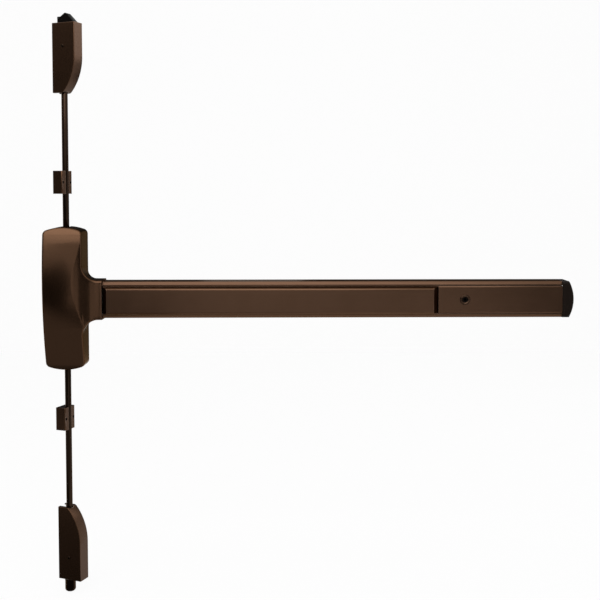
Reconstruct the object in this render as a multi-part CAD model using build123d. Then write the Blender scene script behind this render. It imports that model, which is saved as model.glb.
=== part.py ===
from build123d import *
import math
import os

os.makedirs("parts", exist_ok=True)

# Surface vertical rod exit device for a single door.
# Frame: the door's face is the plane Y = 0, the rods' axis crosses X = 0, and the bar's centre
# line is Z = 0. X runs along the bar to its end cap, -Y points out to the user, Z is up.

# Fits and clearances
running_gap = 0.05
slide_gap = 0.3
pin_slot_gap = 0.2
press_gap = 0.02

# Sheet and casting thicknesses
case_wall = 2.5
plate_thickness = 3.0
housing_wall = 2.8
housing_back = 3.0
pad_wall = 2.5
latch_wall = 1.6
frame_sheet = 1.5

# Rods
rod_diameter = 9.525
rod_out = 13.5
pad_travel = 12.7
lever_half_sweep = 22.0
crank_half_sweep = 20.0
top_rod_travel = 13.7
bottom_rod_travel = 16.5

# Centre case: its outline, the bow of its front, and the arm that reaches to the bar
case_x = 1.0
case_width = 59.6
case_top = 111.0
case_bottom = 107.4
crown_radius = 72.0
case_corner = 8.0
case_front = 57.5
bow_radius = 383.0
bow_apex_z = 27.0
case_edge = 3.0
arm_height = 60.5
arm_run = 27.2
arm_reach = case_x + case_width / 2 + arm_run
arm_land = 1.0
arm_front = 42.5
arm_start = 8.0
back_sweep = 13.0
front_sweep = arm_run - arm_land
front_inset = 0.8
cover_screw_z = 60.0
cover_screw_y = -10.0
cover_tab = 2.2
door_screw_x = 15.0
door_screw_z = 75.0
door_screw_hole = 2.6
bar_screw_x = 16.0
bar_screw_z = 15.0
tongue_thickness = 2.5
tongue_reach = 26.0

# Bar housing, pad, cover plate and end cap
bar_height = 55.0
bar_depth = 38.5
bar_shoulder = 4.2
bar_corner = 1.0
bar_end = 757.0
mouth_height = 42.4
lip_thickness = 3.0
pad_height = 38.8
pad_front = 58.5
pad_gap = 0.8
pad_end = 567.0
pad_slope = 9.0
pad_flange = 3.4
pad_flange_thickness = 2.2
pad_edge = 2.8
plate_height = 41.6
plate_flange = 2.0
plate_front = 40.5
plate_edge = 2.0
cap_length = 17.4
cap_dome = 7.0
cap_depth = 41.0
cap_edge = 3.5
cap_screw_y = -20.0
cap_screw_z = 10.0
cap_screw_sink = 1.8
end_screw_x = 22.0
end_screw_z = 12.0
end_bracket_thickness = 2.5

# Bell cranks and drive link
crank_stations = (150.0, 480.0)
crank_pin_radius = 2.5
crank_hub_radius = 5.5
crank_half_thickness = 3.0
tip_pin_radius = 1.8
crank_out = 27.6
link_joint = 9.0
link_joint_radius = 2.0
link_eye_radius = 4.2
link_end = 575.0
link_depth = 6.0
link_thickness = 3.0
link_lift = 3.4
bracket_half = 9.5
bracket_plate = 2.5

# Lift levers and actuator
lever_pivot_z = 36.0
lever_thickness = 3.0
lever_out = 21.0
lever_hub_radius = 4.4
lever_pin_radius = 2.0
lever_head_radius = 4.3
lever_head = 1.5
arm_radius = 3.4
pivot_radius = 3.0
actuator_start = 7.6
actuator_half = 23.2
actuator_out = 17.0
actuator_thickness = 3.0
guide_stations = (27.0, 48.0)

# Rod guides
turn = 67.0
guide_width = 26.0
guide_depth = 16.5
guide_height = 35.0
guide_edge = 2.5
upper_guide_z = 178.0
lower_guide_z = 185.0
guide_screw_radius = 2.2

# Latch cases
latch_width = 21.4
latch_depth = 39.4
latch_round = 80.0
latch_run = 55.0
latch_bend = 6.0
latch_edge = 1.0
latch_screw_drop = 35.0
latch_screw_out = 18.5
top_latch_low = 313.0
top_latch_height = 105.0
bottom_latch_high = 323.0
bottom_latch_height = 113.0
top_bolt_half = 6.4
top_bolt_height = 14.5
bottom_bolt_radius = 8.4
bottom_nose_radius = 8.2
bottom_nose = 17.5
bottom_nose_round = 4.5
bottom_bolt_reach = 21.0
bottom_bolt_length = 58.0
bottom_socket = 16.0
spring_wire = 1.4
spring_room = 1.1
shelf_drop = 12.0

# Dogging
dogging_x = 608.0
dogging_ring_radius = 8.0
dogging_barrel_radius = 6.4
dogging_shaft_radius = 4.0
hex_key = 4.0


# Small building blocks: a box and cylinders given by where they start and end
def span(x, y, z):
    size = (x[1] - x[0], y[1] - y[0], z[1] - z[0])
    return Pos((x[0] + x[1]) / 2, (y[0] + y[1]) / 2, (z[0] + z[1]) / 2) * Box(*size)


def along_z(x, y, z, radius):
    return Pos(x, y, (z[0] + z[1]) / 2) * Cylinder(radius, z[1] - z[0])


def along_y(x, z, y, radius):
    return Pos(x, (y[0] + y[1]) / 2, z) * Rot(90, 0, 0) * Cylinder(radius, y[1] - y[0])


def along_x(y, z, x, radius):
    return Pos((x[0] + x[1]) / 2, y, z) * Rot(0, 90, 0) * Cylinder(radius, x[1] - x[0])


def slot_plate(a, b, radius):
    """A flat bar with round ends between two points, as a sketch."""
    ends = Pos(*a) * Circle(radius) + Pos(*b) * Circle(radius)
    dx, dy = b[0] - a[0], b[1] - a[1]
    length = math.hypot(dx, dy)
    middle = Pos((a[0] + b[0]) / 2, (a[1] + b[1]) / 2)
    return ends + middle * Rot(0, 0, math.degrees(math.atan2(dy, dx))) * Rectangle(length, 2 * radius)


def section_x(sketch, x0, x1):
    """A Y-Z section run along X."""
    return Pos(x0, 0, 0) * extrude(Plane.YZ * sketch, x1 - x0)


def section_y(sketch, y0, y1):
    """An X-Z outline run from y0 towards the user at y1."""
    return Pos(0, y0, 0) * extrude(Plane.XZ * sketch, y0 - y1)


def section_z(sketch, z0, z1):
    return Pos(0, 0, z0) * extrude(sketch, z1 - z0)


def polygon(*points):
    return make_face(Polyline(*points, close=True))


def coil(radius, wire, turns, start, end):
    """A compression spring along Z with its end turns ground flat."""
    pitch = (end - start - wire) / turns
    path = Pos(0, 0, start + wire / 2) * Helix(pitch, pitch * turns, radius)
    section = Plane(origin=path @ 0, z_dir=path % 0) * Circle(wire / 2)
    return sweep(section, path=path)


def save(name, shape):
    shape.label = name
    export_step(shape, "parts/" + name + ".step")


rod_radius = rod_diameter / 2
rod_y = -rod_out


# Centre case: a tall body with an arm towards the bar. Its outline is drawn twice, tight at the
# door and with wide sweeps in front, and the walls run straight between the two. The front is
# bowed from top to bottom and falls back along the arm. The inset form hollows it.
def case_outline(reach, sweep, inset):
    left = case_x - case_width / 2 + inset
    right = case_x + case_width / 2 - inset
    top, bottom = case_top - inset, inset - case_bottom
    half, arm = (right - left) / 2, arm_height / 2 - inset
    drop = crown_radius - math.sqrt(crown_radius**2 - half**2)
    face = make_face([
        ThreePointArc((left, top - drop), (case_x, top), (right, top - drop)),
        Polyline(
            (right, top - drop), (right, arm), (reach, arm), (reach, -arm), (right, -arm),
            (right, bottom + drop),
        ),
        ThreePointArc((right, bottom + drop), (case_x, bottom), (left, bottom + drop)),
        Line((left, bottom + drop), (left, top - drop)),
    ])
    near_arm = face.vertices().filter_by(
        lambda v: abs(v.X - right) < 0.01 and abs(abs(v.Y) - arm) < 0.01
    )
    face = fillet(near_arm, sweep)
    at_crown = face.vertices().filter_by(
        lambda v: abs(abs(v.X - case_x) - half) < 0.01 and abs(v.Y) > arm + sweep + 1
    )
    return fillet(at_crown, case_corner - inset / 2)


def case_form(inset, reach):
    deep = case_front + 5
    front, arm_y = inset - case_front - 0.5, inset - arm_front
    at_door = Plane.XZ * case_outline(reach, back_sweep + inset, inset)
    in_front = Plane.XZ * case_outline(reach, front_sweep + inset, inset + front_inset)
    y_start = 1 if inset else 0
    block = loft([Pos(0, y_start, 0) * at_door.face(), Pos(0, -deep, 0) * in_front.face()], ruled=True)
    bow = Pos(0, bow_radius - case_front, bow_apex_z) * Rot(0, 90, 0) * Cylinder(bow_radius - inset, 400)
    level = [Line((arm_reach, arm_y), (reach, arm_y))] if reach > arm_reach else []
    plan = make_face([
        Polyline((reach, arm_y), (reach, 5), (-case_width, 5), (-case_width, front), (arm_start, front)),
        Spline((arm_start, front), (arm_reach, arm_y), tangents=[(1, 0), (1, 0)]),
    ] + level)
    return block & bow & section_z(plan, -case_bottom - 10, case_top + 10)


def on_rim(edge, shape):
    """Tells whether a wall and the front meet at this edge, short of the arm's open end."""
    middle = edge @ 0.5
    slopes = [abs(f.normal_at(middle).Y) for f in shape.faces() if any(edge.is_same(e) for e in f.edges())]
    return middle.X < arm_reach - 0.5 and min(slopes) < 0.3 and max(slopes) > 0.75


def rod_notch(z, radius):
    """A slot open to the door that lets a cover pass over a rod from the front."""
    return along_z(0, rod_y, z, radius) + span((-radius, radius), (rod_y, 5), z)


case_left = case_x - case_width / 2
screw_tab_x = case_left + case_wall + slide_gap


def side_screw(x, y, z, head, shank, length, way=1):
    """A pan head screw along X, its head outside the wall at x."""
    screw = along_x(y, z, tuple(sorted((x, x + way * length))), shank)
    dome = Cone(head, head * 0.55, 1.4, align=(Align.CENTER, Align.CENTER, Align.MIN))
    return screw + Pos(x, y, z) * Rot(0, -90 * way, 0) * dome


def make_case():
    outer = case_form(0, arm_reach)
    outer = fillet(outer.edges().filter_by(lambda e: on_rim(e, outer)), case_edge)
    cover = outer - case_form(case_wall, arm_reach + 12)
    for end in (case_top, -case_bottom):
        cover -= rod_notch((end - 14, end + 14), rod_radius + 1.2)
    for z in (cover_screw_z, -cover_screw_z):
        cover -= along_x(cover_screw_y, z, (case_left - 2, case_left + case_wall + 2), 2.1)
    save("case_cover", cover)

    inset = case_wall + slide_gap
    plate = section_y(case_outline(arm_reach, back_sweep + inset, inset), 0, -plate_thickness)
    for x in (-door_screw_x, door_screw_x):
        for z in (-door_screw_z, door_screw_z):
            plate -= along_y(x, z, (-plate_thickness - 1, 1), door_screw_hole)
    for z in (cover_screw_z, -cover_screw_z):
        tab = span((screw_tab_x, screw_tab_x + cover_tab), (-17, -plate_thickness), (z - 8, z + 8))
        plate += tab - along_x(cover_screw_y, z, (screw_tab_x - 1, screw_tab_x + 4), 1.7)
    joint_x = arm_reach + bar_screw_x
    joint_back = -plate_thickness - tongue_thickness
    for z in (bar_screw_z, -bar_screw_z):
        run = (arm_reach - bar_screw_x, arm_reach + tongue_reach)
        tongue = span(run, (joint_back, -plate_thickness), (z - 6, z + 6))
        plate += tongue - along_y(joint_x, z, (-9, 0), 2.0 + press_gap)
    save("case_chassis", plate)

    screws = [
        side_screw(case_left, cover_screw_y, z, 3.6, 1.65, 9.5) for z in (cover_screw_z, -cover_screw_z)
    ]
    save("case_cover_screws", Compound(children=screws))
    joint = []
    for z in (bar_screw_z, -bar_screw_z):
        shank = along_y(joint_x, z, (joint_back, -0.2), 2.0)
        joint.append(shank + along_y(joint_x, z, (-1.6, -0.2), 3.6))
    save("bar_joint_screws", Compound(children=joint))


# Lift levers: the upright arm is driven by the actuator, the level arm lifts or lowers a rod
upright_arm = pad_travel / (2 * math.sin(math.radians(lever_half_sweep)))
swing = math.cos(math.radians(lever_half_sweep))


def level_arm(travel):
    return travel / (2 * math.sin(math.radians(lever_half_sweep)))


def pivot_x(travel):
    return level_arm(travel) * (1 + swing) / 2


def lever(travel, side):
    """side is 1 for the upper lever and -1 for the lower one."""
    px, pz = pivot_x(travel), side * lever_pivot_z
    reach = level_arm(travel)
    tip = (px - reach, pz)
    foot = (px, pz - side * upright_arm)
    face = slot_plate((px, pz), tip, arm_radius) + slot_plate((px, pz), foot, arm_radius)
    face += Pos(px, pz) * Circle(lever_hub_radius)
    body = section_y(face, -lever_out, -lever_out - lever_thickness)
    body += along_y(tip[0], tip[1], (-lever_out, -15.5), lever_pin_radius)
    body += along_y(foot[0], foot[1], (-lever_out, -actuator_out + 0.5), lever_pin_radius)
    body -= along_y(px, pz, (-lever_out - 9, -9), pivot_radius + running_gap)
    centre = Pos(px, 0, pz)
    # seen from the user a positive turn about +Y takes Z towards X, so the rest pose is side * sweep
    return centre * Rot(0, side * lever_half_sweep, 0) * Pos(-px, 0, -pz) * body


def make_levers():
    save("upper_lift_lever", lever(top_rod_travel, 1))
    save("lower_lift_lever", lever(bottom_rod_travel, -1))
    pins = []
    for travel, side in ((top_rod_travel, 1), (bottom_rod_travel, -1)):
        x, z = pivot_x(travel), side * lever_pivot_z
        pin = along_y(x, z, (-lever_out + slide_gap, -plate_thickness), pivot_radius + 1.3)
        outer_end = -lever_out - lever_thickness - slide_gap
        pin += along_y(x, z, (outer_end, -lever_out + 1), pivot_radius)
        pin += along_y(x, z, (outer_end - lever_head, outer_end), lever_head_radius)
        pins.append(pin)
    save("lever_pivot_pins", Compound(children=pins))

    y0, y1 = -actuator_out - actuator_thickness, -actuator_out
    actuator = span((actuator_start, 36), (y0, y1), (-actuator_half, actuator_half))
    actuator += span((34, arm_reach + 1), (y0, y1), (-9, 9))
    riser_low, riser_high = -link_centre - link_depth / 2, -link_centre + link_depth / 2
    under_link = link_lift - slide_gap
    actuator += span((arm_reach - 2, arm_reach + 1), (y0, riser_high), (-6, under_link))
    actuator += span((arm_reach - 2, arm_reach + 14), (riser_low, riser_high), (0.2, under_link))
    for travel, side in ((top_rod_travel, 1), (bottom_rod_travel, -1)):
        x = pivot_x(travel) - pad_travel / 2
        near = lever_pivot_z - upright_arm
        far = lever_pivot_z - upright_arm * swing
        slot = slot_plate((x, side * (near - 0.2)), (x, side * (far + 0.2)), lever_pin_radius + pin_slot_gap)
        actuator -= section_y(slot, -actuator_out + 1, y0 - 1)
    for x in guide_stations:
        slot = slot_plate((x - pad_travel - 0.3, 0), (x + 0.3, 0), pivot_radius + pin_slot_gap)
        actuator -= section_y(slot, -actuator_out + 1, y0 - 1)
    joint_x = arm_reach + link_joint
    actuator -= along_z(joint_x, -link_centre, (-1, 5), link_joint_radius + press_gap)
    save("actuator_slide", actuator)
    pin_ends = (-0.6, link_lift + link_thickness + 0.8)
    pin = along_z(joint_x, -link_centre, pin_ends, link_joint_radius)
    save("link_joint_pin", pin)

    studs = []
    for x in guide_stations:
        stud = along_y(x, 0, (y1 + slide_gap, -plate_thickness), pivot_radius + 1.5)
        stud += along_y(x, 0, (y0 - slide_gap, y1 + 1), pivot_radius)
        stud += along_y(x, 0, (y0 - slide_gap - 1.4, y0 - slide_gap), pivot_radius + 1.5)
        studs.append(stud)
    save("actuator_guide_studs", Compound(children=studs))


# Rods: round bar with a slotted connector inside the case
rise = math.sin(math.radians(lever_half_sweep))
top_pin_z = lever_pivot_z + level_arm(top_rod_travel) * rise
bottom_pin_z = -lever_pivot_z - level_arm(bottom_rod_travel) * rise


def connector(pin_z, side):
    """A block on the rod's inner end, with a level slot for the lift lever's pin."""
    z = sorted((pin_z - side * 6, pin_z + side * 17))
    block = span((-7, 7), (-20.3, -6.7), z)
    slot = slot_plate((-1.2, pin_z), (1.2, pin_z), lever_pin_radius + pin_slot_gap)
    block -= section_y(slot, -15, -21)
    inner = pin_z + side * 4.5
    block -= along_z(0, rod_y, sorted((inner, pin_z + side * 20)), rod_radius + press_gap)
    return block, inner


top_latch_high = top_latch_low + top_latch_height
tail_low = top_latch_high - 56.0
bottom_latch_top = -bottom_latch_high
bottom_latch_end = -bottom_latch_high - bottom_latch_height
bolt_tip = bottom_latch_end - bottom_bolt_reach
bolt_top = bolt_tip + bottom_bolt_length


def make_rods():
    upper, upper_start = connector(top_pin_z, 1)
    lower, lower_start = connector(bottom_pin_z, -1)
    save("upper_rod_connector", upper)
    save("lower_rod_connector", lower)
    neck = tail_low + 2.0
    top_rod = along_z(0, rod_y, (upper_start, neck), rod_radius)
    top_rod += along_z(0, rod_y, (neck, neck + 6.0), 3.0)
    top_rod += along_z(0, rod_y, (neck + 6.0, neck + 10.0), rod_radius)
    save("top_rod", top_rod)
    socket = bolt_top - bottom_socket
    hole = along_x(rod_y, bolt_top - bottom_socket / 2, (-20, 20), 1.5 + press_gap)
    bottom_rod = along_z(0, rod_y, (socket, lower_start), rod_radius) - hole
    save("bottom_rod", bottom_rod)
    nose = along_z(0, rod_y, (bolt_tip, bolt_tip + bottom_nose + 1), bottom_nose_radius)
    nose = fillet(nose.edges().sort_by(Axis.Z)[0], bottom_nose_round)
    bolt = nose + along_z(0, rod_y, (bolt_tip + bottom_nose, bolt_top), bottom_bolt_radius)
    bolt -= along_z(0, rod_y, (socket, bolt_top + 1), rod_radius + press_gap)
    save("bottom_bolt", bolt - hole)


# Bar housing: an extruded channel with a slot along its front
def housing_section():
    half, mouth = bar_height / 2, mouth_height / 2
    inner = half - housing_wall
    lip = bar_depth - lip_thickness
    upper = [
        (-lip, mouth), (-lip, inner - bar_corner), (-lip + bar_corner, inner), (-housing_back, inner),
    ]
    outer = [
        (0, half), (-bar_depth + bar_shoulder, half), (-bar_depth, half - bar_shoulder), (-bar_depth, mouth),
    ]
    top = outer + upper
    mirrored = [(y, -z) for y, z in reversed(top)]
    return polygon(*(top + mirrored))


def channel_section(front, height, wall, edge, flange, back):
    """A channel open to the back, with flanges that catch behind the housing's lips."""
    half = height / 2
    low = bar_depth - lip_thickness - slide_gap
    shape = polygon((-front, half), (-low, half), (-low, half + flange), (-back, half + flange),
                    (-back, -half - flange), (-low, -half - flange), (-low, -half), (-front, -half))
    corner = shape.vertices().filter_by(lambda v: abs(v.X + front) < 0.01)
    shape = fillet(corner, edge)
    hollow = polygon((-front + wall, half - wall), (-back + 1, half - wall),
                     (-back + 1, -half + wall), (-front + wall, -half + wall))
    return shape - hollow, shape, hollow


def make_bar():
    housing = section_x(housing_section(), arm_reach, bar_end)
    for z in (bar_screw_z, -bar_screw_z):
        housing -= along_y(arm_reach + bar_screw_x, z, (-housing_back - 1, 1), 2.0 + press_gap)
        housing -= along_y(arm_reach + bar_screw_x, z, (-1.6, 1), 3.6 + press_gap)
    for z in (end_screw_z, -end_screw_z):
        housing -= along_y(bar_end - end_screw_x, z, (-housing_back - 1, 1), door_screw_hole)
    save("bar_housing", housing)

    back = bar_depth - lip_thickness - slide_gap - pad_flange_thickness
    ring, solid, hollow = channel_section(pad_front, pad_height, pad_wall, pad_edge, pad_flange, back)
    start = arm_reach + pad_gap
    pad = section_x(ring, start + pad_slope, pad_end - pad_slope)
    save("push_pad", pad)
    slope_back = bar_depth + 0.5
    for name, x, way in (("pad_end_left", start, 1), ("pad_end_right", pad_end, -1)):
        inner_x = x + way * pad_slope
        outer_cap = section_x(solid, *sorted((x, inner_x)))
        wedge = polygon((x, -slope_back), (inner_x, -pad_front), (x, -pad_front - 5))
        cap = outer_cap - section_z(wedge, -40, 40)
        bore = section_x(hollow, *sorted((x + way * pad_wall, inner_x + way)))
        shift = pad_wall * 1.1
        wedge_in = polygon((x, -slope_back + shift), (inner_x, -pad_front + shift),
                           (inner_x, -pad_front - 9), (x, -pad_front - 9))
        save(name, cap - (bore - section_z(wedge_in, -40, 40)))

    ring = channel_section(plate_front, plate_height, pad_wall, plate_edge, plate_flange, back)[0]
    cover = section_x(ring, pad_end + 0.5, bar_end - 0.2)
    cover -= along_y(dogging_x, 0, (-60, -20), dogging_barrel_radius + press_gap)
    save("bar_cover", cover)


def cap_solid(inset):
    half = bar_height / 2 - inset
    edge = bar_end + cap_length - cap_dome - inset
    face = make_face([
        Polyline((edge, half), (bar_end - (1 if inset else 0), half), (bar_end - (1 if inset else 0), -half),
                 (edge, -half)),
        ThreePointArc((edge, -half), (edge + cap_dome, 0), (edge, half)),
    ])
    return section_y(face, 1 if inset else 0, -cap_depth + inset)


def make_end():
    outer = cap_solid(0)
    front = outer.edges().filter_by(lambda e: e.center().Y < -cap_depth + 0.01 and e.center().X > bar_end + 1)
    outer = fillet(front, cap_edge)
    cap = outer - cap_solid(pad_wall)
    head_x = bar_end + cap_length - cap_screw_sink
    for z in (cap_screw_z, -cap_screw_z):
        cap -= along_x(cap_screw_y, z, (bar_end + 5, bar_end + 40), 2.1)
        cap -= along_x(cap_screw_y, z, (head_x, bar_end + 40), 3.8)
    save("end_cap", cap)
    tab_x = bar_end + 8.0
    base_front = -housing_back - end_bracket_thickness
    base = span((bar_end - 36, tab_x), (base_front, -housing_back), (-20, 20))
    tab = span((tab_x - end_bracket_thickness, tab_x), (-32, -housing_back), (-17, 17))
    bracket = base + tab
    for z in (end_screw_z, -end_screw_z):
        bracket -= along_y(bar_end - end_screw_x, z, (-9, 0), door_screw_hole)
    for z in (cap_screw_z, -cap_screw_z):
        bracket -= along_x(cap_screw_y, z, (tab_x - 9, tab_x + 9), 1.75)
    save("end_bracket", bracket)
    screws = []
    for z in (cap_screw_z, -cap_screw_z):
        screw = along_x(cap_screw_y, z, (tab_x - 6, head_x + 0.5), 1.7)
        screws.append(screw + along_x(cap_screw_y, z, (head_x, head_x + 1.4), 3.4))
    save("end_cap_screws", Compound(children=screws))


# Bell cranks: one arm follows the pad, the other pushes the drive link
crank_arm = pad_travel / (2 * math.sin(math.radians(crank_half_sweep)))
crank_swing = math.cos(math.radians(crank_half_sweep))
link_centre = crank_out - crank_arm * (1 + crank_swing) / 2
pad_pin_out = crank_out + pad_travel / 2


def crank(x):
    pad_tip = (x - crank_arm, -crank_out)
    link_tip = (x, -crank_out + crank_arm)
    pivot = (x, -crank_out)
    face = slot_plate(pivot, pad_tip, arm_radius) + slot_plate(pivot, link_tip, arm_radius)
    body = section_z(face, -crank_half_thickness, crank_half_thickness)
    hub = bracket_half - bracket_plate - slide_gap
    body += along_z(x, -crank_out, (-hub, hub), crank_hub_radius)
    body += along_z(*pad_tip, (-6.2, 6.2), tip_pin_radius)
    body += along_z(*link_tip, (-crank_half_thickness, link_lift + link_thickness + 0.4), tip_pin_radius)
    body -= along_z(x, -crank_out, (-20, 20), crank_pin_radius + running_gap)
    return Pos(x, -crank_out, 0) * Rot(0, 0, crank_half_sweep) * Pos(-x, crank_out, 0) * body


def crank_bracket(x):
    base = span((x - 9, x + 9), (-housing_back - 2, -housing_back), (-bracket_half, bracket_half))
    base += span((x + 9, x + 29), (-housing_back - 2, -housing_back), (-13, 1))
    for low in (bracket_half - bracket_plate, -bracket_half):
        face = slot_plate((x, -crank_out), (x, -12), 6.5) + Pos(x, -8.5) * Rectangle(18, 11)
        base += section_z(face, low, low + bracket_plate)
    base -= along_z(x, -crank_out, (-20, 20), crank_pin_radius + press_gap)
    return base


def make_cranks():
    pins, pad_brackets, springs, posts = [], [], [], []
    for name, x in zip(("left", "right"), crank_stations):
        save("bell_crank_" + name, crank(x))
        save("crank_bracket_" + name, crank_bracket(x))
        pin = along_z(x, -crank_out, (-bracket_half - 1, bracket_half + 1), crank_pin_radius)
        for z in ((bracket_half, bracket_half + 1.4), (-bracket_half - 1.4, -bracket_half)):
            pin += along_z(x, -crank_out, z, 4.0)
        pins.append(pin)
        tip_x = x - crank_arm * (1 + crank_swing) / 2
        floor = -pad_front + pad_wall
        block = span((tip_x - 10, tip_x + 10), (floor, floor + 2.5), (-13, 13))
        for low in (crank_half_thickness + 0.4, -crank_half_thickness - 2.9):
            block += span((tip_x - 6, tip_x + 6), (floor + 2, -pad_pin_out + 4.2), (low, low + 2.5))
        slot_radius = tip_pin_radius + pin_slot_gap
        slot = slot_plate((tip_x - 0.9, -pad_pin_out), (tip_x + 0.9, -pad_pin_out), slot_radius)
        pad_brackets.append(block - section_z(slot, -20, 20))
        post_x, post_z = x + 20.0, -6.0
        post = along_y(post_x, post_z, (-14, -housing_back - 2), 6.0)
        post += along_y(post_x, post_z, (-33, -14), 3.6)
        posts.append(post)
        spring = coil(4.8, spring_wire, 8, 14.0, pad_front - pad_wall)
        springs.append(Pos(post_x, 0, post_z) * Rot(90, 0, 0) * spring)
    save("crank_pivot_pins", Compound(children=pins))
    save("pad_brackets", Compound(children=pad_brackets))
    save("pad_spring_posts", Compound(children=posts))
    save("pad_springs", Compound(children=springs))

    z = (link_lift, link_lift + link_thickness)
    half = link_depth / 2
    link = span((arm_reach + 3, link_end), (-link_centre - half, -link_centre + half), z)
    for x in crank_stations:
        eye_x = x - pad_travel / 2
        link += along_z(eye_x, -link_centre, z, link_eye_radius)
        tall = (crank_arm - crank_arm * crank_swing) / 2 + 0.2
        slot_radius = tip_pin_radius + pin_slot_gap
        slot = slot_plate((eye_x, -link_centre - tall), (eye_x, -link_centre + tall), slot_radius)
        link -= section_z(slot, z[0] - 1, z[1] + 1)
    link -= along_z(arm_reach + link_joint, -link_centre, (0, 9), link_joint_radius + press_gap)
    save("drive_link", link)


def make_dogging():
    ring = along_y(dogging_x, 0, (-plate_front - 1.2, -plate_front), dogging_ring_radius)
    ring = chamfer(ring.edges().sort_by(Axis.Y)[0], 0.6)
    ring += along_y(dogging_x, 0, (-plate_front, -plate_front + 5), dogging_barrel_radius)
    ring -= along_y(dogging_x, 0, (-60, -20), dogging_shaft_radius + running_gap)
    save("dogging_bushing", ring)
    shaft = along_y(dogging_x, 0, (-plate_front - 0.8, -22), dogging_shaft_radius)
    shaft += along_y(dogging_x, 0, (-plate_front + 5.3, -plate_front + 7), 6.2)
    hook = slot_plate((dogging_x, 0), (dogging_x, 11), 4.6)
    shaft += section_y(hook, -22, -25)
    key = Pos(dogging_x, 0) * RegularPolygon(hex_key / 2, 6, major_radius=False)
    save("dogging_shaft", shaft - section_y(key, -plate_front + 7, -plate_front - 2))


# Rod guides and latches are drawn square to the door, then turned about their rod
def turned(shape):
    return Pos(0, rod_y, 0) * Rot(0, 0, turn) * Pos(0, -rod_y, 0) * shape


def guide(z):
    half = guide_width / 2
    face = polygon((-half, 0), (half, 0), (half, -guide_depth), (-half, -guide_depth))
    face = fillet(face.vertices().filter_by(lambda v: v.Y < -1), guide_edge)
    body = section_z(face, z - guide_height / 2, z + guide_height / 2)
    body -= along_z(0, rod_y, (z - 40, z + 40), rod_radius + running_gap)
    for x in (-9.0, 9.0):
        body -= along_y(x, z, (-guide_depth - 1, 1), guide_screw_radius)
    return body


def latch_face(height):
    """The side outline of a latch case, as (out from door, up), with its rod end at zero."""
    start = (latch_depth - latch_round + math.sqrt(latch_round**2 - latch_run**2), 0)
    end = (latch_depth, latch_run)
    middle = latch_round - math.sqrt(latch_round**2 - (latch_run / 2) ** 2)
    face = make_face([
        Line((0, 0), start),
        ThreePointArc(start, (latch_depth - middle, latch_run / 2), end),
        Polyline(end, (latch_depth, height), (0, height), (0, 0)),
    ])
    return fillet(face.vertices().filter_by(lambda v: abs(v.X - start[0]) < 0.01 and v.Y < 1), latch_bend)


def latch_cover(height, way, base):
    """A deep channel cover over the latch frame. way is 1 with its rod end down."""
    half = latch_width / 2
    face = latch_face(height)
    inner = offset(face, amount=-latch_wall, kind=Kind.INTERSECTION)
    flat = Plane(origin=(0, 0, base), x_dir=(0, -1, 0), z_dir=(-way, 0, 0))
    outer = extrude(flat * face, half, both=True)
    rim = outer.edges().filter_by(lambda e: abs(abs((e @ 0.5).X) - half) < 0.01 and (e @ 0.5).Y < -1)
    outer = fillet(rim, latch_edge)
    hollow = extrude(flat * inner, half - latch_wall, both=True)
    hollow += Pos(0, 2 * latch_wall, 0) * hollow
    return outer - hollow


def screw_pair(y, z):
    half = latch_width / 2
    return [turned(side_screw(way * half, y, z, 2.6, 1.2, 3.2, -way)) for way in (1, -1)]


def frame_channel(low, high, depth_low, depth_high):
    half = latch_width / 2 - latch_wall - slide_gap
    channel = span((-half, half), (-2.5, 0), (low, high))
    middle = (low + high) / 2
    face = polygon((0, low), (-depth_low, low), (-depth_high, middle), (-depth_high, high), (0, high))
    for x in (-half, half - frame_sheet):
        channel += section_x(face, x, x + frame_sheet)
    return channel


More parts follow.
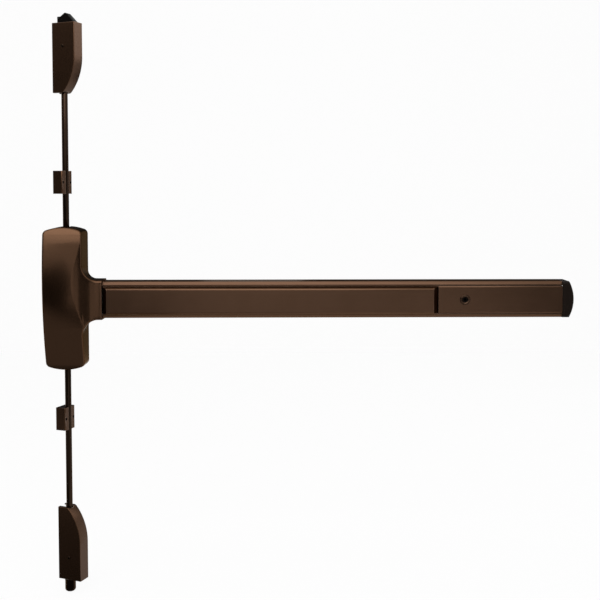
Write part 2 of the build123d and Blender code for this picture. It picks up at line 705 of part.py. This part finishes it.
def make_top_latch():
    low, high = top_latch_low, top_latch_high
    half = latch_width / 2
    cover = latch_cover(top_latch_height, 1, low)
    cover -= rod_notch((low - 5, low + 9), rod_radius + 1.0)
    cover -= span((-top_bolt_half - 0.4, top_bolt_half + 0.4), (-36.6, -6.0), (high - 5, high + 5))
    screw_z = high - latch_screw_drop
    cover -= along_x(-latch_screw_out, screw_z, (-half - 1, half + 1), 1.3)
    save("top_latch_cover", turned(cover))
    save("top_latch_screws", Compound(children=screw_pair(-latch_screw_out, screw_z)))

    frame = frame_channel(low + 6, high - latch_wall - slide_gap, 14.0, 34.0)
    shelf_z = low + shelf_drop
    shelf_half = latch_width / 2 - latch_wall - slide_gap
    frame += span((-shelf_half, shelf_half), (-22, -1), (shelf_z - 2, shelf_z))
    frame -= along_z(0, rod_y, (shelf_z - 5, shelf_z + 5), rod_radius + 0.6)
    frame -= along_x(-latch_screw_out, screw_z, (-half - 1, half + 1), 1.25)
    for z in (low + 20, tail_low - 6):
        frame -= along_y(0, z, (-4, 1), 2.2)
    save("top_latch_frame", turned(frame))

    top = high + top_bolt_height
    profile = polygon((-6.5, high - 38), (-6.5, high + 9.4), (-12, high + 9.4), (-19.5, top), (-21.5, top),
                      (-36, high), (-36, high - 38))
    bolt = section_x(profile, -top_bolt_half, top_bolt_half)
    bolt += span((-top_bolt_half, top_bolt_half), (-21, -6.5), (tail_low, high - 38))
    neck = tail_low + 2.0
    chamber = (neck + 5.7, neck + 10.3)
    bolt -= along_z(0, rod_y, chamber, rod_radius + slide_gap)
    bolt -= span((-rod_radius - slide_gap, rod_radius + slide_gap), (-30, rod_y), chamber)
    bolt -= along_z(0, rod_y, (tail_low - 1, neck + 6), 3.0 + slide_gap)
    bolt -= span((-3.3, 3.3), (-30, rod_y), (tail_low - 1, neck + 6))
    bolt -= along_z(0, rod_y, (tail_low - 1, neck + 0.3), rod_radius + slide_gap)
    bolt -= span((-rod_radius - slide_gap, rod_radius + slide_gap), (-30, rod_y), (tail_low - 1, neck + 0.3))
    save("top_latchbolt", turned(bolt))
    spring = coil(rod_radius + spring_room, spring_wire, 9, shelf_z, tail_low - slide_gap)
    save("top_latch_spring", Pos(0, rod_y, 0) * spring)


def make_bottom_latch():
    top, end = bottom_latch_top, bottom_latch_end
    half = latch_width / 2
    cover = latch_cover(bottom_latch_height, -1, top)
    cover -= rod_notch((top - 9, top + 5), rod_radius + 1.0)
    cover -= rod_notch((end - 5, end + 5), bottom_bolt_radius + 0.4)
    screw_z = end + latch_screw_drop
    cover -= along_x(-latch_screw_out, screw_z, (-half - 1, half + 1), 1.3)
    save("bottom_latch_cover", turned(cover))
    inner = half - latch_wall - slide_gap
    shelf_z = top - shelf_drop
    frame = span((-inner, inner), (-2.5, 0), (end + latch_wall + slide_gap, top - 6))
    flange_low = bolt_top + bottom_rod_travel + 3
    for x in (-inner, inner - frame_sheet):
        frame += span((x, x + frame_sheet), (-18, 0), (flange_low, top - 6))
    frame += span((-inner, inner), (-21, -1), (shelf_z, shelf_z + 2))
    frame -= along_z(0, rod_y, (shelf_z - 5, shelf_z + 5), rod_radius + 0.6)
    for z in (top - 20, bolt_top + 9):
        frame -= along_y(0, z, (-4, 1), 2.2)
    save("bottom_latch_frame", turned(frame))
    block = span((-inner, inner), (-27, -2.5), (end + latch_wall + slide_gap, screw_z + 5))
    block -= along_z(0, rod_y, (end - 5, end + 60), bottom_bolt_radius + running_gap)
    block -= along_x(-latch_screw_out, screw_z, (-half - 1, half + 1), 1.25)
    save("bottom_bolt_block", turned(block))
    save("bottom_latch_screws", Compound(children=screw_pair(-latch_screw_out, screw_z)))
    reach = bottom_bolt_radius - 0.4
    pin = along_x(rod_y, bolt_top - bottom_socket / 2, (-reach, reach), 1.5)
    save("bottom_bolt_pin", pin)
    spring = coil(rod_radius + spring_room, spring_wire, 9, bolt_top, shelf_z)
    save("bottom_latch_spring", Pos(0, rod_y, 0) * spring)


make_case()
make_levers()
make_rods()
make_bar()
make_end()
make_cranks()
make_dogging()
save("upper_rod_guide", turned(guide(upper_guide_z)))
save("lower_rod_guide", turned(guide(-lower_guide_z)))
make_top_latch()
make_bottom_latch()
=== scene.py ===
# %% [markdown]
# # A vertical rod exit device
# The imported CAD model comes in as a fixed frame: every solid already has its place and its size,
# in metres. This lesson gives those solids their finish, adds the small details that a maker would
# expect to find, and sets up the light and the camera.

# %% Load the frame
import math

import bmesh
import bpy
from mathutils import Matrix, Vector


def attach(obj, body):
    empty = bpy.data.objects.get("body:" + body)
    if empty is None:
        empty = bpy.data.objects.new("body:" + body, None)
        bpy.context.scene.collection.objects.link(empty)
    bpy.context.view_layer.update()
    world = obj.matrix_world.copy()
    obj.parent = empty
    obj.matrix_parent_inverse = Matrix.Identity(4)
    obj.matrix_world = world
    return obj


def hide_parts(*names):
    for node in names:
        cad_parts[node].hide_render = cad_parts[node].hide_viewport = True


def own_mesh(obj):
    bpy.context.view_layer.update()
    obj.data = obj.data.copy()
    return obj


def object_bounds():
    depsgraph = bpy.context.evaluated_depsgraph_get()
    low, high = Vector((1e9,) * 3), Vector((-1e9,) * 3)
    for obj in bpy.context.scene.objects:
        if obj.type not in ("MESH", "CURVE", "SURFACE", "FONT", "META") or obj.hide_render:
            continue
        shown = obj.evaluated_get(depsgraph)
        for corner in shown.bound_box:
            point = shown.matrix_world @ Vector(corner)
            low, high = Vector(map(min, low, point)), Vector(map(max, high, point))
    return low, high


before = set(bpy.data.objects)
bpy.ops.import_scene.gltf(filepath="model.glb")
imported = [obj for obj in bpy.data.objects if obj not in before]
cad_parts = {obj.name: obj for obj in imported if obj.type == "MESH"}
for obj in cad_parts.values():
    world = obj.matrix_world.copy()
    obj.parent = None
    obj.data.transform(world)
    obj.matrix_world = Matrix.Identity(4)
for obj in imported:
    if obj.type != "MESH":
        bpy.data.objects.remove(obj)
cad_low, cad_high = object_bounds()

print("CAD box, metres:", [round(v, 4) for v in (*cad_low, *cad_high)])

# %% [markdown]
# The photograph looks at the device from the front and slightly above, from the right of the
# centre case. A long lens keeps the bar nearly straight. The picture's centre lies below the
# horizon line of the lens, so a vertical shift frames it, as a view camera would.

# %% Camera
PICTURE_SIDE = 600
SENSOR = 36.0
focal_pixels = 974.0
rows_shifted = 60.0
tilted_down = 3.0
turned_right = 1.0

eye = bpy.data.cameras.new("eye")
eye.sensor_width = SENSOR
eye.lens = focal_pixels * SENSOR / PICTURE_SIDE
eye.shift_y = -rows_shifted / PICTURE_SIDE
camera = bpy.data.objects.new("camera", eye)
camera.location = (0.3316, -1.508, 0.1679)
camera.rotation_euler = (math.radians(90 - tilted_down), 0, math.radians(-turned_right))
bpy.context.scene.collection.objects.link(camera)
bpy.context.scene.camera = camera
print("lens, mm:", round(eye.lens, 2))

# %% [markdown]
# Shader maths reads best as plain arithmetic. A Wire holds one output socket of a node tree, and
# each operator adds the Math node that it stands for. Colours and vectors need Mix and Vector Math
# nodes, because a Math node would turn them grey. All other nodes come from one method.

# %% Shader arithmetic
class Wire:
    """One output socket, ready for arithmetic."""

    def __init__(self, graph, socket):
        self.graph = graph
        self.socket = socket

    def math_node(self, operation, first, second):
        return self.graph.node("Math", {"operation": operation}, {0: first, 1: second})

    def __add__(self, other):
        return self.math_node("ADD", self, other)

    def __radd__(self, other):
        return self.math_node("ADD", other, self)

    def __sub__(self, other):
        return self.math_node("SUBTRACT", self, other)

    def __rsub__(self, other):
        return self.math_node("SUBTRACT", other, self)

    def __mul__(self, other):
        return self.math_node("MULTIPLY", self, other)

    def __rmul__(self, other):
        return self.math_node("MULTIPLY", other, self)


class Graph:
    """A node tree that is built by one method."""

    def __init__(self, tree):
        self.tree = tree
        tree.nodes.clear()

    def node(self, kind, settings=None, inputs=None, output=0):
        """Adds a node, sets it up, then fills or links its inputs, and returns one output."""
        made = self.tree.nodes.new("ShaderNode" + kind)
        for name, value in (settings or {}).items():
            setattr(made, name, value)
        for name, value in (inputs or {}).items():
            if isinstance(value, Wire):
                self.tree.links.new(value.socket, made.inputs[name])
            else:
                made.inputs[name].default_value = value
        return Wire(self, made.outputs[output]) if made.outputs else made

    def scaled(self, vector, factors):
        """A vector times one factor for each axis."""
        return self.node("VectorMath", {"operation": "MULTIPLY"}, {0: vector, 1: factors})

    def blend(self, share, first, second):
        """A colour between two colours. The Mix node keeps its colour sockets at 6, 7 and 2."""
        return self.node("Mix", {"data_type": "RGBA"}, {0: share, 6: first, 7: second}, output=2)


def straight_rays(graph):
    """1 for the camera's own rays and for those that mirrors and glass send on."""
    seen = graph.node("LightPath")
    rays = {socket.name: Wire(graph, socket) for socket in seen.socket.node.outputs}
    return rays["Is Camera Ray"] + rays["Is Glossy Ray"] + rays["Is Transmission Ray"]


# %% [markdown]
# Every metal piece here is coated or plated, so its colour comes back as a soft reflection. One
# recipe covers them all: a fine grain that is stretched along the direction in which the piece was
# drawn, rolled or brushed, a slow cloudiness in the colour, and a roughness that follows both.
# Handling wears a coating where hands and tools touch it first, along the corners, and the lighter
# colour there is also a painted highlight for the light that a rounded edge catches. A Bevel node
# bends the normal near a corner, so where it leaves the plain normal there is a line that is
# partly wear and partly painted highlight.

# %% The recipe for a metal finish
def colour(red, green, blue):
    return (red, green, blue, 1.0)


white = colour(1.0, 1.0, 1.0)
dark_tint = colour(0.47, 0.39, 0.32)
cloud_scale = 22.0
grain_share = 0.4
bump_strength = 0.35
wear_highlight_from, wear_highlight_full = 0.02, 0.22


def metal_finish(name, dark, light, metallic, rough, rough_spread, grain, grain_depth,
                 edge_tint=white, wear_and_highlight=None, wear_highlight_width=0.0009, gloss=0.5):
    """grain is the number of grains per metre along X, Y and Z. edge_tint is the colour that the
    metal takes at a glancing angle, and gloss the reflection of a coat that isn't metallic."""
    material = bpy.data.materials.new(name)
    material.use_nodes = True
    graph = Graph(material.node_tree)
    place = graph.node("TexCoord", output="Object")
    grains = graph.node(
        "TexNoise",
        {"noise_dimensions": "3D"},
        {"Vector": graph.scaled(place, grain), "Scale": 1.0, "Detail": 3.0, "Roughness": 0.55},
    )
    clouds = graph.node(
        "TexNoise",
        {"noise_dimensions": "3D"},
        {"Vector": place, "Scale": cloud_scale, "Detail": 4.0, "Roughness": 0.6},
    )
    shade = (1 - grain_share) * clouds + grain_share * grains
    bump = graph.node(
        "Bump", inputs={"Strength": bump_strength, "Distance": grain_depth, "Height": grains}
    )
    base = graph.blend(shade, dark, light)
    # The lighter line along the corners is partly wear and partly a painted highlight.
    if wear_and_highlight:
        bent = graph.node("Bevel", {"samples": 6}, {"Radius": wear_highlight_width})
        plain = graph.node("NewGeometry", output="Normal")
        facing = graph.node(
            "VectorMath", {"operation": "DOT_PRODUCT"}, {0: bent, 1: plain}, output="Value"
        )
        line = graph.node(
            "MapRange", {"interpolation_type": "SMOOTHSTEP"},
            {"Value": 1 - facing, "From Min": wear_highlight_from, "From Max": wear_highlight_full},
        )
        base = graph.blend(line * (0.45 + 0.55 * clouds), base, wear_and_highlight)
    surface = graph.node(
        "BsdfPrincipled",
        inputs={
            "Base Color": base,
            "Metallic": metallic,
            "Roughness": rough + rough_spread * (shade - 0.5),
            "Specular IOR Level": gloss,
            "Specular Tint": edge_tint,
            "Normal": bump,
        },
    )
    graph.node("OutputMaterial", inputs={"Surface": surface})
    return material


# %% [markdown]
# The device has one dark bronze finish on different metals. The cast case and the latch covers
# are coated, which leaves a fine pebble. The bar's extrusions keep faint lines along their length.
# The rods are drawn steel, with lines along Z.

# %% Finishes
bronze_dark = colour(0.060, 0.031, 0.017)
bronze_light = colour(0.082, 0.044, 0.026)
# The corner colour is lighter: partly wear, partly a painted highlight along the edges.
wear_highlight_bronze = colour(0.190, 0.125, 0.090)
PEBBLE = (1500.0, 1500.0, 1500.0)
ALONG_BAR = (14.0, 2600.0, 2600.0)
ALONG_ROD = (2600.0, 2600.0, 14.0)

cast_bronze = metal_finish(
    "cast_bronze", bronze_dark, bronze_light, 1.0, 0.21, 0.08, PEBBLE, 0.00004,
    edge_tint=dark_tint, wear_and_highlight=wear_highlight_bronze,
)
# The latch covers and the bar get their own lighter, wider corner lines: partly wear, partly a
# painted highlight.
latch_bronze = metal_finish(
    "latch_bronze", bronze_dark, bronze_light, 1.0, 0.28, 0.10, PEBBLE, 0.00004,
    wear_and_highlight=colour(0.34, 0.25, 0.20), wear_highlight_width=0.0014,
)
drawn_bronze = metal_finish(
    "drawn_bronze", colour(0.082, 0.044, 0.026), colour(0.112, 0.062, 0.039), 1.0, 0.30, 0.12,
    ALONG_BAR, 0.00003, edge_tint=dark_tint, wear_and_highlight=colour(0.30, 0.20, 0.15), wear_highlight_width=0.0013,
)
rod_bronze = metal_finish(
    "rod_bronze", colour(0.020, 0.012, 0.008), colour(0.034, 0.021, 0.014), 1.0, 0.20, 0.10,
    ALONG_ROD, 0.00003, edge_tint=colour(0.60, 0.54, 0.49),
)
turned_bronze = metal_finish(
    "turned_bronze", colour(0.056, 0.032, 0.020), colour(0.076, 0.044, 0.029), 1.0, 0.26, 0.10,
    PEBBLE, 0.00002,
)
cap_bronze = metal_finish(
    "cap_bronze", colour(0.006, 0.004, 0.003), colour(0.011, 0.007, 0.005), 0.0, 0.42, 0.1, PEBBLE,
    0.00005, gloss=0.06,
)
black_oxide = metal_finish(
    "black_oxide", colour(0.003, 0.002, 0.002), colour(0.006, 0.005, 0.004), 0.0, 0.36, 0.12,
    PEBBLE, 0.00004, gloss=0.02,
)
zinc_plate = metal_finish(
    "zinc_plate", colour(0.27, 0.27, 0.26), colour(0.50, 0.50, 0.49), 1.0, 0.36, 0.20, ALONG_ROD,
    0.00003,
)
dull_steel = metal_finish(
    "dull_steel", colour(0.035, 0.033, 0.031), colour(0.070, 0.066, 0.062), 1.0, 0.48, 0.16,
    PEBBLE, 0.00004,
)
spring_wire = metal_finish(
    "spring_wire", colour(0.26, 0.25, 0.24), colour(0.38, 0.38, 0.38), 1.0, 0.30, 0.1, PEBBLE,
    0.00002,
)

# %% [markdown]
# Each CAD node takes one of these finishes, and plain zinc plate where the table names none, as on
# the inner steel. Real edges are never knife sharp. A Weld modifier joins the imported corners, a
# Decimate takes out the flat faces' inner lines, and a small Bevel catches the light along the
# edges. The node's own mesh stays as it came.

# %% Dress the CAD nodes
FINISH_OF = {
    cast_bronze: ("case_cover",),
    latch_bronze: (
        "top_latch_cover", "bottom_latch_cover", "upper_rod_guide", "lower_rod_guide",
        "case_cover_screws", "top_latch_screws", "bottom_latch_screws",
    ),
    drawn_bronze: ("bar_housing", "push_pad", "pad_end_left", "pad_end_right", "bar_cover"),
    turned_bronze: ("dogging_bushing",),
    rod_bronze: ("top_rod", "bottom_rod", "bottom_bolt"),
    cap_bronze: ("end_cap", "end_cap_screws"),
    black_oxide: ("top_latchbolt", "dogging_shaft"),
    dull_steel: ("end_bracket", "bar_joint_screws"),
    spring_wire: ("pad_springs", "top_latch_spring", "bottom_latch_spring"),
}
finish_by_node = {node: finish for finish, nodes in FINISH_OF.items() for node in nodes}


def paint(obj, material):
    obj.data.materials.clear()
    obj.data.materials.append(material)


def soften(obj, width):
    """Rounds an object's sharp edges without touching its mesh."""
    weld = obj.modifiers.new("weld", "WELD")
    weld.merge_threshold = same_point
    flatten = obj.modifiers.new("flatten", "DECIMATE")
    flatten.decimate_type = "DISSOLVE"
    flatten.angle_limit = flat_within
    bevel = obj.modifiers.new("bevel", "BEVEL")
    bevel.width = width
    bevel.segments = 2
    bevel.limit_method = "ANGLE"
    bevel.angle_limit = sharp_from
    bevel.use_clamp_overlap = True
    bevel.harden_normals = True


same_point = 0.000002
flat_within = math.radians(0.4)
sharp_from = math.radians(32)
edge_round = 0.0003
for node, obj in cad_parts.items():
    paint(obj, finish_by_node.get(node, zinc_plate))
    soften(obj, edge_round)
print("dressed nodes:", len(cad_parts))

# %% [markdown]
# The cover screws are pan head screws. A lathe shape is the quickest way to one: a profile is spun
# about the screw's axis. The cross recess is cut by a tapered cross with a Boolean modifier, and
# the finished head is then copied to each place, turned to the wall that it holds.

# %% Pan head screws
def spun(profile, steps=40):
    """A closed lathe shape about Z from (radius, height) points."""
    shape = bmesh.new()
    rim = [shape.verts.new((radius, 0, height)) for radius, height in profile]
    line = [shape.edges.new(pair) for pair in zip(rim, rim[1:])]
    bmesh.ops.spin(
        shape, geom=rim + line, cent=(0, 0, 0), axis=(0, 0, 1), angle=2 * math.pi, steps=steps
    )
    bmesh.ops.remove_doubles(shape, verts=shape.verts, dist=1e-7)
    bmesh.ops.recalc_face_normals(shape, faces=shape.faces)
    return shape


def as_object(name, shape):
    mesh = bpy.data.meshes.new(name)
    shape.to_mesh(mesh)
    shape.free()
    made = bpy.data.objects.new(name, mesh)
    bpy.context.scene.collection.objects.link(made)
    return made


def tapered_cross(reach, width, top, bottom):
    """The tool that cuts a cross recess: wide above, narrower at its bottom."""
    shape = bmesh.new()
    rings = []
    for level, share in ((top, 1.15), (bottom, 0.72)):
        far, near = reach * share, width * share
        corners = [(far, -near), (far, near), (near, near), (near, far), (-near, far),
                   (-near, near), (-far, near), (-far, -near), (-near, -near), (-near, -far),
                   (near, -far), (near, -near)]
        rings.append([shape.verts.new((x, y, level)) for x, y in corners])
    for low, high in zip(range(12), (*range(1, 12), 0)):
        shape.faces.new((rings[0][low], rings[0][high], rings[1][high], rings[1][low]))
    shape.faces.new(rings[0])
    shape.faces.new(rings[1])
    bmesh.ops.recalc_face_normals(shape, faces=shape.faces)
    return shape


def cut_by(blank, tool):
    """The blank's mesh less the tool's, and neither object is left."""
    cut = blank.modifiers.new("cut", "BOOLEAN")
    cut.operation = "DIFFERENCE"
    cut.solver = "EXACT"
    cut.object = tool
    seen = blank.evaluated_get(bpy.context.evaluated_depsgraph_get())
    mesh = bpy.data.meshes.new_from_object(seen)
    for old in (blank, tool):
        bpy.data.objects.remove(old)
    return mesh


def pan_screws(node, body, seats, head, height, shank, length):
    """seats holds the place where each head sits on its wall, and the way it faces. head and
    shank are radii."""
    profile = [
        (0, -length), (shank * 0.7, -length), (shank, -length + shank * 0.4), (shank, 0),
        (head * 0.97, 0), (head, height * 0.12), (head, height * 0.34),
        (head * 0.96, height * 0.58), (head * 0.86, height * 0.80), (head * 0.68, height * 0.93),
        (head * 0.4, height), (0, height),
    ]
    blank = as_object("screw_blank", spun(profile))
    tool = as_object(
        "recess_tool", tapered_cross(head * 0.58, head * 0.13, height * 1.2, height * 0.15)
    )
    one = cut_by(blank, tool)
    every = bmesh.new()
    for place, outward in seats:
        turned = Vector(outward).to_track_quat("Z", "Y").to_matrix().to_4x4()
        copy = one.copy()
        copy.transform(Matrix.Translation(place) @ turned)
        every.from_mesh(copy)
    made = as_object(node + "_pan_heads", every)
    paint(made, rod_bronze)
    for face in made.data.polygons:
        face.use_smooth = True
    edges = made.modifiers.new("edges", "BEVEL")
    edges.width = 0.00012
    edges.segments = 2
    edges.limit_method = "ANGLE"
    edges.angle_limit = math.radians(40)
    edges.harden_normals = True
    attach(made, body)
    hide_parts(node)
    print(node, "faces:", len(made.data.polygons))


rod_axis = Vector((0.0, -0.0135, 0.0))
latch_turn = Matrix.Rotation(math.radians(67), 4, "Z")
screw_from_rod = 0.005
half_latch = 0.0107
# Each screw: its head's radius and height, its shank's radius and length
latch_screw = (0.0026, 0.0014, 0.0012, 0.0032)
case_screw = (0.0036, 0.0014, 0.00165, 0.0095)
cap_screw = (0.0034, 0.0014, 0.0017, 0.0136)
case_side, case_screw_out, case_screw_height = -0.0288, -0.010, 0.060
cap_seat, cap_screw_out, cap_screw_height = 0.7726, -0.020, 0.010


def latch_seats(height):
    """Both screws of a latch, on its left and right walls, which are turned about the rod."""
    seats = []
    for way in (1, -1):
        outward = latch_turn @ Vector((way, 0, 0))
        offset = latch_turn @ Vector((way * half_latch, -screw_from_rod, height))
        seats.append((rod_axis + offset, outward))
    return seats


def level_pair(x, y, height, way):
    """A screw above and one below the bar's centre line, both facing along X."""
    return [((x, y, z), (way, 0, 0)) for z in (height, -height)]


pan_screws("top_latch_screws", "top_latch", latch_seats(0.383), *latch_screw)
pan_screws("bottom_latch_screws", "bottom_latch", latch_seats(-0.401), *latch_screw)
pan_screws(
    "case_cover_screws", "case",
    level_pair(case_side, case_screw_out, case_screw_height, -1), *case_screw,
)
pan_screws(
    "end_cap_screws", "case",
    level_pair(cap_seat, cap_screw_out, cap_screw_height, 1), *cap_screw,
)

# %% [markdown]
# The dogging key's hole sits in a turned ring. It stands a little proud of the cover plate. Its
# steep rim mirrors the plate, which draws a dark line round it, and the face leans a little
# towards the hole, where a round corner catches the light.

# %% Turned ring about the dogging shaft
dogging_place = (0.608, -0.0405, 0.0)
towards_user = Matrix.Rotation(math.radians(90), 4, "X")
ring_profile = [
    (0.0064, -0.0050), (0.0064, 0.0), (0.0080, 0.0), (0.00795, 0.00025), (0.00735, 0.00100),
    (0.00720, 0.00115), (0.00700, 0.00120), (0.0062, 0.00117), (0.0052, 0.00105),
    (0.0048, 0.00088), (0.0044, 0.00040), (0.00412, -0.00020), (0.00406, -0.00085),
    (0.00406, -0.0050), (0.0064, -0.0050),
]
ring = as_object("dogging_ring", spun(ring_profile, 64))
ring.data.transform(Matrix.Translation(dogging_place) @ towards_user)
for face in ring.data.polygons:
    face.use_smooth = True
paint(ring, turned_bronze)
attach(ring, "case")
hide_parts("dogging_bushing")
print("ring faces:", len(ring.data.polygons))

# %% [markdown]
# The return springs are wound from round wire. A mesh tube follows a helix whose first and last
# turns lie close, as on a spring that has been closed and ground to stand square. Each spring
# starts at its fixed end and gets a mesh of its own, and the length that it shortens to as its
# joint moves is printed.

# %% Compression springs
def coil_spring(radius, wire, turns, length, steps=24, sides=10):
    """A spring along Z from 0 to length, with one closed turn at each end."""
    shape = bmesh.new()
    all_turns = turns + 2
    count = all_turns * steps
    pitch = (length - 3 * wire) / turns
    rings = []
    for step in range(count + 1):
        turn = step / steps
        rise = min(turn, 1) * wire + max(0, min(turn - 1, turns)) * pitch
        rise += max(0, turn - 1 - turns) * wire
        angle = 2 * math.pi * turn
        outward = Vector((math.cos(angle), math.sin(angle), 0))
        centre = outward * radius + Vector((0, 0, wire / 2 + rise))
        ring = []
        for side in range(sides):
            around = 2 * math.pi * side / sides
            offset = outward * math.cos(around) + Vector((0, 0, math.sin(around)))
            ring.append(shape.verts.new(centre + offset * wire / 2))
        rings.append(ring)
    for low, high in zip(rings, rings[1:]):
        for side in range(sides):
            other = (side + 1) % sides
            shape.faces.new((low[side], low[other], high[other], high[side]))
    shape.faces.new(rings[0])
    shape.faces.new(rings[-1])
    bmesh.ops.recalc_face_normals(shape, faces=shape.faces)
    return shape


def wound_springs(node, body, places, length, travel, coil):
    """places are the matrices that put each spring's first end, wound along its own Z. coil
    holds the mean radius, the wire's thickness and the number of open turns."""
    every = bmesh.new()
    for place in places:
        mesh = bpy.data.meshes.new("one_spring")
        one = coil_spring(*coil, length)
        one.to_mesh(mesh)
        one.free()
        mesh.transform(place)
        every.from_mesh(mesh)
    made = as_object(node + "_wound", every)
    for face in made.data.polygons:
        face.use_smooth = True
    paint(made, spring_wire)
    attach(made, body)
    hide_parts(node)
    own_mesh(made)
    print(node, "shortens to", round(1000 * (length - travel), 1), "mm")


# How far each spring's joint moves, then the seats, the free lengths and the coils
pad_travel, top_travel, bottom_travel = 0.0127, 0.0137, 0.0165
pad_coil = (0.0048, 0.0014, 8)
latch_coil = (0.00586, 0.0014, 9)
pad_spring_seat, pad_spring_length = -0.01402, 0.04196
top_spring_low, top_spring_length = 0.32502, 0.03666
bottom_spring_top, bottom_spring_length = -0.33502, 0.06396
bottom_spring_low = bottom_spring_top - bottom_spring_length
wound_springs(
    "pad_springs", "pad",
    [Matrix.Translation((x, pad_spring_seat, -0.006)) @ towards_user for x in (0.170, 0.500)],
    pad_spring_length, pad_travel, pad_coil,
)
wound_springs(
    "top_latch_spring", "top_latch",
    [Matrix.Translation(rod_axis + Vector((0, 0, top_spring_low)))],
    top_spring_length, top_travel, latch_coil,
)
wound_springs(
    "bottom_latch_spring", "bottom_latch",
    [Matrix.Translation(rod_axis + Vector((0, 0, bottom_spring_low)))],
    bottom_spring_length, bottom_travel, latch_coil,
)

# %% [markdown]
# A plain pale floor and a backdrop stand for the studio. The camera sees them white, and so does
# metal that mirrors them, while a part of their own shading stays in to keep the shadow.

# %% Floor and backdrop
def flat_sheet(name, corners):
    mesh = bpy.data.meshes.new(name)
    mesh.from_pydata(corners, [], [range(len(corners))])
    made = bpy.data.objects.new(name, mesh)
    bpy.context.scene.collection.objects.link(made)
    return made


def pale_finish(name, kept_shading):
    material = bpy.data.materials.new(name)
    material.use_nodes = True
    graph = Graph(material.node_tree)
    matt = graph.node("BsdfDiffuse", inputs={"Color": colour(0.92, 0.92, 0.92)})
    bright = graph.node("Emission", inputs={"Color": white, "Strength": 1.0})
    share = (1 - kept_shading) * straight_rays(graph)
    graph.node(
        "OutputMaterial",
        inputs={"Surface": graph.node("MixShader", inputs={0: share, 1: matt, 2: bright})},
    )
    return material


reach = 6.0
floor_level = cad_low.z - 0.0005
wall_back = 2.2
kept_shading = 0.07
floor = flat_sheet(
    "floor",
    [(-reach, -reach, floor_level), (reach, -reach, floor_level), (reach, wall_back, floor_level),
     (-reach, wall_back, floor_level)],
)
backdrop = flat_sheet(
    "backdrop",
    [(-reach, wall_back, floor_level), (reach, wall_back, floor_level),
     (reach, wall_back, floor_level + reach), (-reach, wall_back, floor_level + reach)],
)
pale_sheet = pale_finish("pale_sheet", kept_shading)
floor.data.materials.append(pale_sheet)
backdrop.data.materials.append(pale_sheet)

# %% [markdown]
# A wide softbox hangs above the camera and gives the bowed case its bright upper third. A second
# one overhead lights the upper faces, and a small one behind the top right draws a rim. The room
# is white, and smooth metal needs something dark to mirror as well. Cards beside the lens and
# behind the device, as a photographer would stand them, and cloths on the floor give the case its
# dark band and the latches their dark left faces. Only reflections see them, the camera doesn't.

# %% Light
def softbox(name, place, target, width, height, power):
    lamp = bpy.data.lights.new(name, "AREA")
    lamp.shape = "RECTANGLE"
    lamp.size = width
    lamp.size_y = height
    lamp.energy = power
    holder = bpy.data.objects.new(name, lamp)
    holder.location = place
    holder.rotation_euler = (Vector(target) - Vector(place)).to_track_quat("-Z", "Y").to_euler()
    bpy.context.scene.collection.objects.link(holder)


def cloth_finish(name, level):
    material = bpy.data.materials.new(name)
    material.use_nodes = True
    graph = Graph(material.node_tree)
    graph.node(
        "OutputMaterial",
        inputs={"Surface": graph.node("Emission", inputs={"Color": colour(level, level, level)})},
    )
    return material


def reflected_only(card, material):
    card.data.materials.append(material)
    card.visible_camera = False
    card.visible_diffuse = False
    card.visible_shadow = False


def standing_card(name, left, right, bottom, top, material):
    """An upright card between two places on the ground plan, seen only by reflections."""
    card = flat_sheet(
        name, [(*left, bottom), (*right, bottom), (*right, top), (*left, top)]
    )
    reflected_only(card, material)


def lying_cloth(name, x, y, material):
    level = floor_level + cloth_lift
    cloth = flat_sheet(
        name,
        [(x[0], y[0], level), (x[1], y[0], level), (x[1], y[1], level), (x[0], y[1], level)],
    )
    reflected_only(cloth, material)


cloth_lift = 0.002
black_cloth = cloth_finish("black_cloth", 0.05)
grey_cloth = cloth_finish("grey_cloth", 0.45)
shade_cloth = cloth_finish("shade_cloth", 0.12)
softbox("upper_softbox", (0.1, -2.2, 1.5), (0.2, 0.0, 0.0), 2.8, 1.6, 37.0)
softbox("overhead_softbox", (0.3, -0.45, 1.9), (0.3, -0.1, 0.0), 2.6, 1.1, 14.0)
softbox("rim_softbox", (1.64, 1.15, 0.78), (0.0, 0.0, 0.38), 0.8, 0.75, 3.0)
standing_card("front_card", (-1.2, -1.3), (0.0, -1.3), -0.28, 0.10, black_cloth)
standing_card("side_strip", (0.44, -1.3), (1.05, -1.25), -0.05, 0.14, black_cloth)
standing_card("left_card", (-2.4, -0.5), (-0.75, -1.4), floor_level, 0.9, shade_cloth)
standing_card("right_card", (0.98, -1.3), (2.0, -0.9), floor_level, 0.35, shade_cloth)
standing_card("back_card", (-0.6, 0.90), (1.3, 0.90), -0.25, 0.60, black_cloth)
standing_card("back_strip", (0.14, 0.88), (0.38, 0.88), -0.25, 0.30, grey_cloth)
lying_cloth("near_cloth", (-0.8, 0.05), (-0.28, -0.02), shade_cloth)
lying_cloth("side_cloth", (-1.7, -0.9), (-1.15, -0.3), shade_cloth)
lying_cloth("middle_cloth", (-0.9, 0.60), (-1.35, -0.28), grey_cloth)
lying_cloth("far_cloth", (-0.9, 0.90), (-2.3, -1.35), black_cloth)

studio = bpy.data.worlds.new("studio")
bpy.context.scene.world = studio
studio.use_nodes = True
sky = Graph(studio.node_tree)
room_level = 0.45
white_room = sky.node("Background", inputs={"Color": white, "Strength": 1.0})
room_light = sky.node("Background", inputs={"Color": white, "Strength": room_level})
sky.node(
    "OutputWorld",
    inputs={
        "Surface": sky.node(
            "MixShader", inputs={0: straight_rays(sky), 1: room_light, 2: white_room}
        )
    },
)

bpy.context.scene.view_settings.view_transform = "Standard"
